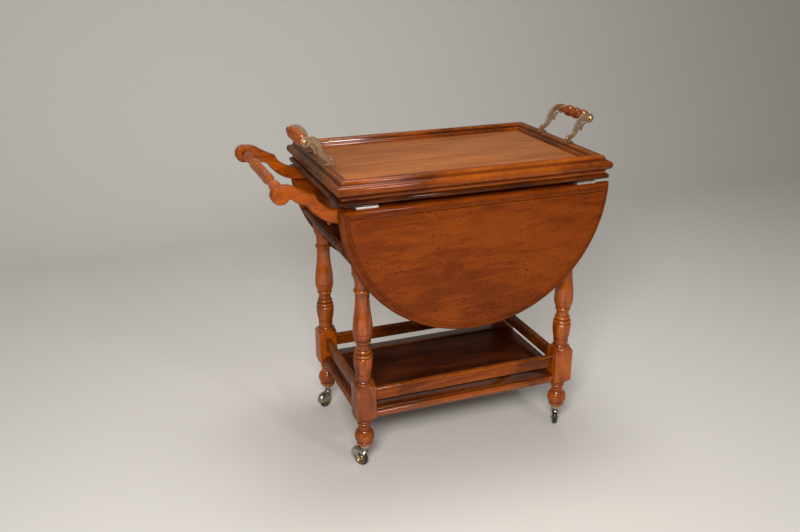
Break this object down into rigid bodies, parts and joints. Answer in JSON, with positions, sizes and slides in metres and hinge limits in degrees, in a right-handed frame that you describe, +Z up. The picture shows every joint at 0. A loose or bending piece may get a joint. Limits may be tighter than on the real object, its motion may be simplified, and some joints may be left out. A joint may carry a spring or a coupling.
{
  "type": "tea trolley",
  "caption": "Wooden tea trolley with turned legs on casters, drop leaves at both sides, a lift-off tray, a drawer and a railed lower shelf.",
  "frame": {"origin": "on the floor, midway between the four turned legs", "axes": "+Z up; +X along the trolley, away from the push bar and the drawer front; +Y towards the back leaf"},
  "size_m": [0.8606, 0.4452, 0.8246],
  "materials": {
    "stained_wood": "glossy reddish walnut stain and lacquer, darker in the hollows of the turnings",
    "leaf_veneer": "glossy figured walnut veneer with a fine bead line inside the edge",
    "shelf_veneer": "dark glossy veneer",
    "tray_veneer": "worn satin veneer",
    "plain_wood": "bare drawer wood, satin",
    "hinge_steel": "worn bright steel",
    "polished_brass": "polished",
    "antique_brass": "aged, brown in the hollows",
    "black_rubber": "smooth black"
  },
  "bodies": {
    "frame": {"leg_front_left": "stained_wood", "leg_front_right": "stained_wood", "leg_back_left": "stained_wood", "leg_back_right": "stained_wood", "case_bottom_board": "stained_wood", "top_board": "stained_wood", "case_side_front": "stained_wood", "case_side_back": "stained_wood", "case_end_panel": "stained_wood", "top_hinges_and_pins": "hinge_steel", "fly_bracket_front": "stained_wood", "fly_bracket_back": "stained_wood", "push_arm_front": "stained_wood", "push_arm_back": "stained_wood", "push_bar": "stained_wood", "shelf_panel": "shelf_veneer", "shelf_edge_front": "stained_wood", "shelf_edge_back": "stained_wood", "shelf_edge_left": "stained_wood", "shelf_edge_right": "stained_wood", "gallery_rail_front": "stained_wood", "gallery_rail_back": "stained_wood", "gallery_rail_left": "stained_wood", "gallery_rail_right": "stained_wood", "caster_collars": "polished_brass"},
    "front_leaf": {"leaf_front": "leaf_veneer", "leaf_hinges_front": "hinge_steel"},
    "back_leaf": {"leaf_back": "leaf_veneer", "leaf_hinges_back": "hinge_steel"},
    "drawer": {"drawer_front": "stained_wood", "drawer_pull": "stained_wood", "drawer_side_front": "plain_wood", "drawer_side_back": "plain_wood", "drawer_back": "plain_wood", "drawer_bottom": "plain_wood"},
    "tray": {"tray_panel": "tray_veneer", "tray_grip_left": "stained_wood", "tray_grip_right": "stained_wood", "tray_handle_fasteners": "polished_brass", "tray_frame_front": "stained_wood", "tray_frame_back": "stained_wood", "tray_frame_left": "stained_wood", "tray_frame_right": "stained_wood", "tray_arm_left_front": "antique_brass", "tray_arm_left_back": "antique_brass", "tray_arm_right_front": "antique_brass", "tray_arm_right_back": "antique_brass"},
    "caster_front_left": {"caster_hood_front_left": "polished_brass"},
    "wheel_front_left": {"caster_wheel_front_left": "polished_brass", "caster_tyre_front_left": "black_rubber"},
    "caster_front_right": {"caster_hood_front_right": "polished_brass"},
    "wheel_front_right": {"caster_wheel_front_right": "polished_brass", "caster_tyre_front_right": "black_rubber"},
    "caster_back_left": {"caster_hood_back_left": "polished_brass"},
    "wheel_back_left": {"caster_wheel_back_left": "polished_brass", "caster_tyre_back_left": "black_rubber"},
    "caster_back_right": {"caster_hood_back_right": "polished_brass"},
    "wheel_back_right": {"caster_wheel_back_right": "polished_brass", "caster_tyre_back_right": "black_rubber"}
  },
  "joints": [
    {"name": "front_leaf_hinge", "type": "hinge", "parent": "frame", "child": "front_leaf", "pos_m": [0, -0.216, 0.6917], "axis": [-1, 0, 0], "range_deg": [0, 90]},
    {"name": "back_leaf_hinge", "type": "hinge", "parent": "frame", "child": "back_leaf", "pos_m": [0, 0.216, 0.6917], "axis": [1, 0, 0], "range_deg": [0, 90]},
    {"name": "drawer_slide", "type": "slide", "parent": "frame", "child": "drawer", "axis": [-1, 0, 0], "range_m": [0, 0.25]},
    {"name": "tray_lift", "type": "slide", "parent": "frame", "child": "tray", "axis": [0, 0, 1], "range_m": [0, 0.12]},
    {"name": "caster_swivel_front_left", "type": "hinge", "parent": "frame", "child": "caster_front_left", "pos_m": [-0.27, -0.161, 0.044], "axis": [0, 0, 1], "continuous": true},
    {"name": "wheel_spin_front_left", "type": "hinge", "parent": "caster_front_left", "child": "wheel_front_left", "pos_m": [-0.27636, -0.15082, 0.02], "axis": [-0.848, -0.5299, 0], "continuous": true},
    {"name": "caster_swivel_front_right", "type": "hinge", "parent": "frame", "child": "caster_front_right", "pos_m": [0.27, -0.161, 0.044], "axis": [0, 0, 1], "continuous": true},
    {"name": "wheel_spin_front_right", "type": "hinge", "parent": "caster_front_right", "child": "wheel_front_right", "pos_m": [0.27507, -0.15012, 0.02], "axis": [-0.9063, 0.4226, 0], "continuous": true},
    {"name": "caster_swivel_back_left", "type": "hinge", "parent": "frame", "child": "caster_back_left", "pos_m": [-0.27, 0.161, 0.044], "axis": [0, 0, 1], "continuous": true},
    {"name": "wheel_spin_back_left", "type": "hinge", "parent": "caster_back_left", "child": "wheel_back_left", "pos_m": [-0.27958, 0.15378, 0.02], "axis": [0.6018, -0.7986, 0], "continuous": true},
    {"name": "caster_swivel_back_right", "type": "hinge", "parent": "frame", "child": "caster_back_right", "pos_m": [0.27, 0.161, 0.044], "axis": [0, 0, 1], "continuous": true},
    {"name": "wheel_spin_back_right", "type": "hinge", "parent": "caster_back_right", "child": "wheel_back_right", "pos_m": [0.27919, 0.16871, 0.02], "axis": [-0.6428, 0.766, 0], "continuous": true}
  ]
}
